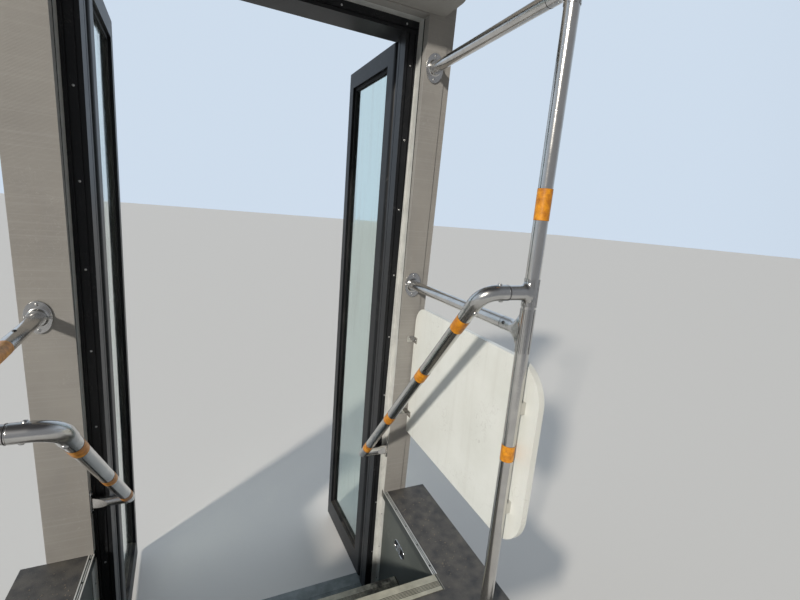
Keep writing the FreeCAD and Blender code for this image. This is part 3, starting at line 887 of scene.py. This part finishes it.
def addScrew(shape, at, way, size):
    steps = screw["steps"]
    star = [0.3 + 0.14 * math.cos(4 * math.tau * i / steps) for i in range(steps)]
    rings = [(rise, [share] * steps) for rise, share in screw["head"]]
    rings += [(rise, [share * reach for reach in star]) for rise, share in screw["pit"]]
    loops = []
    for rise, shares in rings:
        radii = [size["radius"] * share for share in shares]
        loops.append(shape.ring(at + way * size["rise"] * rise, way, radii))
    shape.skin(loops)
    shape.cap(loops[-1])


def screwFrame():
    row = {"spacing": 227 * mm, "height": 403 * mm, "below": 3, "headInset": 44 * mm, "headDrop": 17 * mm}
    shape = Shape()
    lo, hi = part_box("jamb_rear")
    first = floorTop + row["height"] - row["spacing"] * row["below"]
    for side in (-1, 1):
        for i in range(int((hi.z - lo.z) / row["spacing"])):
            z = first + i * row["spacing"]
            addScrew(shape, Vector((side * (jambEdge + frameSide) / 2, frameInner, z)), inboard, small)
    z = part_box("door_head")[1].z - row["headDrop"]
    for share in (-1, -0.5, 0, 0.5, 1):
        addScrew(shape, Vector((share * (frameSide - row["headInset"]), frameInner, z)), inboard, small)
    shape.build("jamb_screws", brightScrews)


# Four screws in each oval flange, and three in each round one
def screwFlanges():
    places = {"oval": ((0, 34), (0, -34), (25, 0), (-25, 0)), "turns": (90, 210, 330), "reach": 26.5 * mm}
    shape = Shape()
    for rail in rails.values():
        for across, rise in places["oval"]:
            at = rail["seat"] + lean * flange["plate"] + Vector((across, -rise * wallLean, rise)) * mm
            addScrew(shape, at, lean, large)
    for side in ("front", "rear"):
        lo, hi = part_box(f"stanchion_flanges_{side}")
        middle = (lo + hi) / 2
        for turn in places["turns"]:
            a = math.radians(turn)
            x, y = middle.x + places["reach"] * math.cos(a), middle.y + places["reach"] * math.sin(a)
            addScrew(shape, Vector((x, y, lo.z + flange["plate"])), up, large)
            addScrew(shape, Vector((x, y, hi.z - flange["plate"])), -up, large)
    shape.build("flange_screws", brightScrews)


def screwTees():
    pin = {"along": 60 * mm, "out": 16.1 * mm, "lift": 0.3, "share": 0.64, "top": 15.7 * mm}
    shape = Shape()
    for ends, rail in rails.items():
        way = rail["way"]
        inward = Vector((-1 if "rear" in ends else 1, 0, pin["lift"])).normalized()
        inward = (inward - way * inward.dot(way)).normalized()
        addScrew(shape, rail["joint"] + way * pin["along"] + inward * pin["out"], inward, large)
    rail = rails["guard", "front"]
    addScrew(shape, rail["joint"].lerp(rail["seat"], pin["share"]) + up * pin["top"], up, large)
    shape.build("tee_screws", blackScrews)


# Each grab rail's elbow has two screws in its arm and one in its leg, and its foot has two
def screwGrabs():
    collar = {"above": 41 * mm, "below": 48 * mm, "leg": 50 * mm, "out": 17 * mm}
    shape = Shape()
    for grab in grabs.values():
        corner, outward, down = grab["corner"], grab["outward"], grab["down"]
        over = down.cross(rearward).normalized()
        over = over if over.z > 0 else -over
        for at, way in (
            (corner + outward * collar["above"], up),
            (corner + outward * collar["below"], -up),
            (corner + down * collar["leg"], -over),
        ):
            addScrew(shape, at + way * collar["out"], way, proud)
        for z in (-foot["straight"], foot["straight"]):
            addScrew(shape, grab["seat"] - outward * foot["thick"] + up * z, -outward, small)
    shape.build("casting_screws", brightScrews)


def screwPanel():
    bracket = {"height": 22 * mm, "inset": 9 * mm, "out": 23 * mm, "side": 3 * mm, "sideInset": 8 * mm}
    shape = Shape()
    lo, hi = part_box("panel_brackets")
    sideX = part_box("modesty_panel")[0].x - bracket["side"]
    for z in (lo.z + bracket["height"] / 2, hi.z - bracket["height"] / 2):
        faceY = frameInner - bracket["out"] - wallLean * (z - floorTop)
        addScrew(shape, Vector((lo.x + bracket["inset"], faceY, z)), lean, small)
        addScrew(shape, Vector((sideX, lo.y + bracket["sideInset"], z)), -rearward, small)
    shape.build("bracket_screws", brightScrews)


def screwCover():
    row = {"count": 6, "inset": 60 * mm, "drop": 20 * mm}
    shape = Shape()
    lo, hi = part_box("header_cover")
    for i in range(row["count"]):
        x = lo.x + (i + 0.5) / row["count"] * (hi.x - lo.x)
        addScrew(shape, Vector((x, lo.y + row["inset"], lo.z)), -up, small)
        addScrew(shape, Vector((x, lo.y, hi.z - row["drop"])), inboard, small)
    shape.build("cover_screws", brightScrews)


def screwEdges():
    row = {"inset": 5.5 * mm, "shares": (0.08, 0.3, 0.52, 0.74, 0.95)}
    shape = Shape()
    lo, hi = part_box("well_edge_trims")
    for side in (-1, 1):
        for share in row["shares"]:
            at = Vector((side * (frameSide + row["inset"]), lo.y + share * (hi.y - lo.y), hi.z))
            addScrew(shape, at, up, small)
    shape.build("edge_trim_screws", blackScrews)


screwFrame()
screwFlanges()
screwTees()
screwGrabs()
screwPanel()
screwCover()
screwEdges()
print("screws set")


# Dark seams where a tube meets its casting or its tape, and a dark strip of painted shade between each
# reveal band and its post's trim, wider towards the top
def makeSeams():
    seam = {"width": 0.9 * mm, "crest": 0.6, "proud": 0.25 * mm, "sunk": 0.3 * mm, "steps": 40}
    reach = {"leg": 60.2 * mm, "arm": 65 * mm}
    radii = {"branch": 16.3 * mm, "leg": 16.6 * mm, "arm": 17.2 * mm, "tape": tube["radius"] + 0.1 * mm}
    joint = {"start": 630 * mm, "end": 5 * mm, "thin": 2 * mm, "thick": 7 * mm, "proud": 0.3 * mm}
    # The seam colour also paints the shade strip beside each reveal band
    grime = makePaint("seamGrimeAndShade", {**rubberLook, "base": (0.02, 0.02, 0.02), "rough": 0.8})
    shape = Shape()

    def addSeam(at, way, radius):
        half = seam["width"] / 2
        low, high = radius - seam["sunk"], radius + seam["proud"]
        rings = ((-half, low), (-half * seam["crest"], high), (half * seam["crest"], high), (half, low))
        shape.skin([shape.ring(at + way * along, way, [size] * seam["steps"]) for along, size in rings])

    for ends, rail in rails.items():
        addSeam(rail["joint"] + rail["way"] * tees[ends]["reach"], rail["way"], radii["branch"])
    for grab in grabs.values():
        addSeam(grab["corner"] + grab["down"] * reach["leg"], grab["down"], radii["leg"])
        addSeam(grab["post"] - grab["outward"] * reach["arm"], grab["outward"], radii["arm"])
    for at, way in tapeEnds:
        addSeam(at, way, radii["tape"])

    # Painted shade: a thin dark sheet on each jamb side where the gap beside the reveal band is in shade
    lo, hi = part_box("reveal_bands")
    shadeWedge = ((lo.z + joint["start"], joint["thin"]), (hi.z - joint["end"], joint["thick"]))
    for side in (-1, 1):
        x = side * frameSide
        inner = x - side * joint["proud"]
        loops = []
        for z, depth in shadeWedge:
            corners = ((x, 0), (inner, 0), (inner, depth), (x, depth))
            loops.append(shape.loop([Vector((a, lo.y - b, z)) for a, b in corners]))
        shape.skin(loops if side > 0 else loops[::-1])
    shape.build("joint_seams_and_shade", grime)


makeSeams()
print("seams added")


# Aluminium strips over the corner between the jambs and the well's sides
def makeStrips():
    strip = {
        "thick": 1.2 * mm,
        "face": 18 * mm,
        "end": 1.5 * mm,
        "rib": 1.6 * mm,
        "bend": floorTop + 397 * mm,
        "drop": 3 * mm,
        "gap": 0.5 * mm,
        "depths": {1: 36 * mm, -1: 54 * mm},
        "screws": (0.16, 0.5, 0.84),
    }
    head = {"radius": 2.6 * mm, "rise": 1.1 * mm}
    shape = Shape()
    screws = Shape()
    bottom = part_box("door_sill")[1].z
    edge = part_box("well_edge_trims")[0].z
    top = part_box("reveal_bands")[1].z - strip["drop"]

    def extrude(outlines, heights):
        loops = []
        for outline, z in zip(outlines, heights):
            loops.append(shape.loop([Vector((x, y, z)) for x, y in outline]))
        shape.skin(loops)
        shape.cap(loops[0], flip=True)
        shape.cap(loops[-1])

    # The face strip has a rib near each edge, and narrows above the bend
    def faceOutline(width):
        rib = strip["rib"] * width / strip["face"]
        far = frameSide - width
        base = frameInner - strip["thick"]
        crest = base - strip["thick"]
        return [
            (far, frameInner),
            (far, base),
            (far + rib, crest),
            (far + 2 * rib, base),
            (frameSide - 3 * rib, base),
            (frameSide - 2 * rib, crest),
            (frameSide - rib, base),
            (frameSide, base),
            (frameSide, frameInner),
        ]

    widths = (strip["face"], strip["face"], strip["end"])
    extrude([faceOutline(width) for width in widths], (bottom, strip["bend"], top))
    for side, depth in strip["depths"].items():
        x = side * frameSide
        inner = x - side * strip["thick"]
        far = frameInner - depth
        corners = [(x, frameInner), (inner, frameInner), (inner, far), (x, far)]
        extrude([corners[::side]] * 2, (bottom, edge - strip["gap"]))
        for share in strip["screws"]:
            at = Vector((inner, frameInner - depth / 2, bottom + share * (edge - bottom)))
            addScrew(screws, at, rearward * -side, head)
    shape.build("corner_strips", slotMaterials["trim_grey"])
    screws.build("strip_screws", slotMaterials["black_frame"])


# The well's lock sits in an oval dish with a bright rim, with a dark sheet of painted shade inside the rim:
# half heights and shares of the rise
def makeDish():
    dish = {
        "straight": 22 * mm,
        "rise": 2.4 * mm,
        "steps": 48,
        "rim": ((19, 0), (18.7, 0.7), (18, 1), (16.8, 1), (15.8, 0.6), (15.6, 0.2)),
        "shadeSheet": ((15.9, 0.25), (15.2, 0.25)),
    }
    lo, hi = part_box("well_lock")
    middle = Vector((frameSide, (lo.y + hi.y) / 2, (lo.z + hi.z) / 2))

    def ovals(shape, profile):
        loops = []
        for radius, share in profile:
            points = []
            for i in range(dish["steps"]):
                a = math.tau * (i + 0.5) / dish["steps"]
                y = dish["straight"] * (1 if math.cos(a) > 0 else -1) + radius * mm * math.cos(a)
                points.append(middle + Vector((-share * dish["rise"], y, radius * mm * math.sin(a))))
            loops.append(shape.loop(points))
        shape.skin(loops)
        return loops

    rim = Shape()
    # The black sheet inside the rim is painted shade in the dish's hollow
    shadeSheet = Shape()
    ovals(rim, dish["rim"])
    shadeSheet.cap(ovals(shadeSheet, dish["shadeSheet"])[-1])
    rim.build("lock_rim", slotMaterials["lock_metal"])
    shadeSheet.build("lock_shade_sheet", slotMaterials["black_frame"])


makeStrips()
makeDish()
print("strips and dish added")


# Grit and small stones trodden onto the steps and the floor
def makeGrit():
    grit = {"count": 420, "small": 0.6 * mm, "large": 2.1 * mm, "sides": 6, "tilt": 0.4}
    look = {**paint, "base": (0.3, 0.25, 0.19), "faded": (0.2, 0.17, 0.14), "rough": 0.9, "dust": 0.0}
    stone = makePaint("grit", look)
    shape = Shape()
    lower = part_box("door_sill")[1].z
    upper = floorTop - riser
    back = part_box("step_nosings")[0].y
    areas = (
        (-0.44, 0.44, frameInner - 170 * mm, frameInner - 12 * mm, lower),
        (-0.44, 0.44, back + 60 * mm, frameInner - 245 * mm, upper),
        (0.49, 0.6, back, frameInner - 60 * mm, floorTop),
        (-0.6, -0.49, back, frameInner - 60 * mm, floorTop),
    )
    for i in range(grit["count"]):
        x0, x1, y0, y1, z = areas[i % len(areas)]
        size = chance.uniform(grit["small"], grit["large"])
        at = Vector((chance.uniform(x0, x1), chance.uniform(y0, y1), z))
        way = Vector((*[chance.uniform(-grit["tilt"], grit["tilt"]) for k in range(2)], 1))
        base = shape.ring(at, way, [size * chance.uniform(0.7, 1.1) for k in range(grit["sides"])])
        radii = [size * chance.uniform(0.35, 0.7) for k in range(grit["sides"])]
        top = shape.ring(at + up * size * 0.7, way, radii)
        shape.skin([base, top])
        shape.cap(top)
    shape.build("grit", stone)


makeGrit()
print("grit added")


# Stage, light and camera
def makeFloor():
    ground = {"size": 90.0, "back": -3.5, "colour": (0.62, 0.6, 0.57, 1), "rough": 0.85}
    size, back = ground["size"], ground["back"]
    z = startBounds[0][2] - 0.5 * mm
    mesh = bpy.data.meshes.new("floor")
    corners = [(-size, back, z), (size, back, z), (size, size, z), (-size, size, z)]
    mesh.from_pydata(corners, [], [(0, 1, 2, 3)])
    material = startMaterial("paleFloor", ground["rough"])[0]
    material.node_tree.nodes["Principled BSDF"].inputs["Base Color"].default_value = ground["colour"]
    mesh.materials.append(material)
    floor = bpy.data.objects.new("floor", mesh)
    bpy.context.scene.collection.objects.link(floor)


# The sky lights the part from the doorway's side, and camera, mirror and glass rays see a softer backdrop
def makeWorld():
    pale = (0.62, 0.72, 0.84)
    world = bpy.data.worlds.new("studio")
    world.use_nodes = True
    tree = world.node_tree
    axes = split(tree, tree.nodes.new("ShaderNodeTexCoord").outputs["Generated"])
    inside = mixColour(tree, ramp(tree, axes["Z"], 0.35, 0.8), (0.16, 0.15, 0.14), (0.05, 0.05, 0.05))
    sky = mixColour(tree, ramp(tree, axes["Y"], -0.35, 0.45), inside, pale)
    ends = {"Value": axes["Y"], "From Min": -0.8, "From Max": 0.55}
    spread = place(tree, "ShaderNodeMapRange", ends, interpolation_type="SMOOTHSTEP").outputs["Result"]
    around = mixColour(tree, spread, (0.28, 0.29, 0.31), pale)
    backdrop = mixColour(tree, ramp(tree, axes["Z"], 0.48, 0.85), around, (0.06, 0.06, 0.065))
    ray = tree.nodes.new("ShaderNodeLightPath").outputs
    mirrored = maths(tree, "MAXIMUM", ray["Is Glossy Ray"], ray["Is Transmission Ray"])
    seen = maths(tree, "MAXIMUM", ray["Is Camera Ray"], mirrored)
    background = tree.nodes["Background"].inputs
    tree.links.new(mixColour(tree, seen, sky, backdrop), background["Color"])
    background["Strength"].default_value = 1.0
    bpy.context.scene.world = world


def addSun(name, at, target, angle, power, colour):
    data = bpy.data.lights.new(name, "SUN")
    data.angle = angle
    data.energy = power
    data.color = colour
    lamp = bpy.data.objects.new(name, data)
    lamp.location = at
    lamp.rotation_euler = (Vector(at) - Vector(target)).to_track_quat("Z", "Y").to_euler()
    bpy.context.scene.collection.objects.link(lamp)
    return lamp


def makeCamera():
    view = {
        "focal": 417.6,
        "width": 800,
        "place": (-0.144, -0.910, 1.133),
        "right": (0.9109, -0.4048, 0.0805),
        "forward": (0.4127, 0.8896, -0.1955),
    }
    right = Vector(view["right"]).normalized()
    forward = Vector(view["forward"]).normalized()
    right = (right - forward * right.dot(forward)).normalized()
    data = bpy.data.cameras.new("camera")
    data.sensor_width = 36
    data.lens = view["focal"] / view["width"] * data.sensor_width
    data.clip_start = 0.01
    camera = bpy.data.objects.new("camera", data)
    turn = Matrix((right, right.cross(forward), -forward)).transposed()
    camera.matrix_world = Matrix.Translation(Vector(view["place"])) @ turn.to_4x4()
    bpy.context.scene.collection.objects.link(camera)
    bpy.context.scene.camera = camera


makeFloor()
makeWorld()
addSun("key", (-2.6, -2.36, 2.43), (0.4, 0.1, 0.6), 0.07, 3.0, (1.0, 0.94, 0.85))
skyLamp = addSun("sky", (1.5, 4.0, 5.0), (0.2, 0.2, 0.6), 1.2, 0.5, (0.88, 0.94, 1.0))
# The wide lamp's disc would show in the glass with a hard edge
skyLamp.visible_glossy = False
skyLamp.visible_transmission = False
makeCamera()
bpy.context.scene.view_settings.view_transform = "Standard"
print("stage lit")
